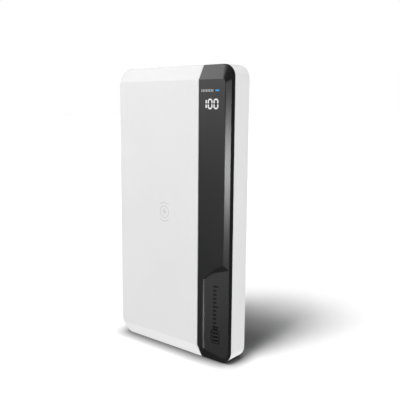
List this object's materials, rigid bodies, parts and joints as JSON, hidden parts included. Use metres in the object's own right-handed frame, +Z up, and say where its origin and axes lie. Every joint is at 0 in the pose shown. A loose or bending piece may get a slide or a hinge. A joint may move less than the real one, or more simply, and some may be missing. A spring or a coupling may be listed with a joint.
{
  "type": "wireless power bank",
  "caption": "Slim wireless power bank with a two-tone bevelled casing, a lit charge display, USB sockets and a sprung power button.",
  "frame": {"origin": "centre of the bounding box's bottom face, which is the short end it stands on", "axes": "+Z up the long way to the socket end, -Y out of the charging face, +X to the display side"},
  "size_m": [0.0738, 0.0174, 0.1453],
  "materials": {
    "white_cover": "satin",
    "white_rear": "satin",
    "white_button": "satin",
    "dark_band": "satin",
    "grey_mark": "matt",
    "pale_marks": "matt",
    "dark_marks": "gloss",
    "lit_digits": "lit",
    "smoked_digits": "smoked",
    "blue_lamp": "lit",
    "copper": "enamelled copper",
    "tape": "film",
    "paper": "fish paper",
    "foam": "foam",
    "ferrite": "sintered",
    "pouch": "laminate",
    "nickel": "nickel",
    "board": "solder resist",
    "chip": "moulded epoxy",
    "ceramic": "ceramic",
    "red_wire": "silicone",
    "black_wire": "silicone",
    "epoxy": "epoxy bead",
    "screw": "plated steel",
    "port_steel": "plated steel",
    "port_plastic": "moulded",
    "gold": "gold plate",
    "chip_plastic": "moulded",
    "plunger": "moulded",
    "reflector": "moulded",
    "led": "phosphor",
    "flex": "polyimide"
  },
  "bodies": {
    "casing": {"front_cover": "white_cover", "rear_cover": "white_rear", "trim_band": "dark_band", "charge_mark": "grey_mark", "lamp_marks": "pale_marks", "panel_marks": "dark_marks", "digits_lit": "lit_digits", "digits_unlit": "smoked_digits", "lamp_guide": "blue_lamp", "charging_coil": "copper", "coil_leads": "copper", "coil_film": "tape", "cell_tape": "tape", "insulation_sheet": "paper", "cell_pads": "foam", "ferrite_sheet": "ferrite", "front_cell": "pouch", "rear_cell": "pouch", "front_cell_tabs": "nickel", "rear_cell_tabs": "nickel", "protection_board": "board", "main_board": "board", "display_board": "board", "protection_chips": "chip", "power_chip": "chip", "coil_driver_chip": "chip", "power_switches": "chip", "power_inductors": "ferrite", "tuning_capacitors": "ceramic", "small_capacitors": "ceramic", "positive_lead": "red_wire", "negative_lead": "black_wire", "cell_thermistor": "epoxy", "board_screws": "screw", "usb_a_shell": "port_steel", "usb_c_shell": "port_steel", "usb_a_tongue": "port_plastic", "usb_c_tongue": "port_plastic", "usb_a_contacts": "gold", "usb_c_contacts": "gold", "switch_body": "chip_plastic", "switch_dome": "screw", "display_reflector": "reflector", "display_lamps": "led", "status_lamp": "led", "display_socket": "port_plastic", "display_cable": "flex"},
    "button": {"power_button": "white_button"},
    "plunger": {"switch_plunger": "plunger"}
  },
  "joints": [
    {"name": "button_press", "type": "slide", "parent": "casing", "child": "button", "axis": [0, 0, -1], "range_m": [0, 0.00035], "stiffness_N_per_m": 3000},
    {"name": "plunger_press", "type": "slide", "parent": "casing", "child": "plunger", "axis": [0, 0, -1], "range_m": [0, 0.00035], "deforming": ["switch_dome"]}
  ],
  "couplings": [
    {"joint": "plunger_press", "follows": "button_press", "ratio": 1}
  ]
}
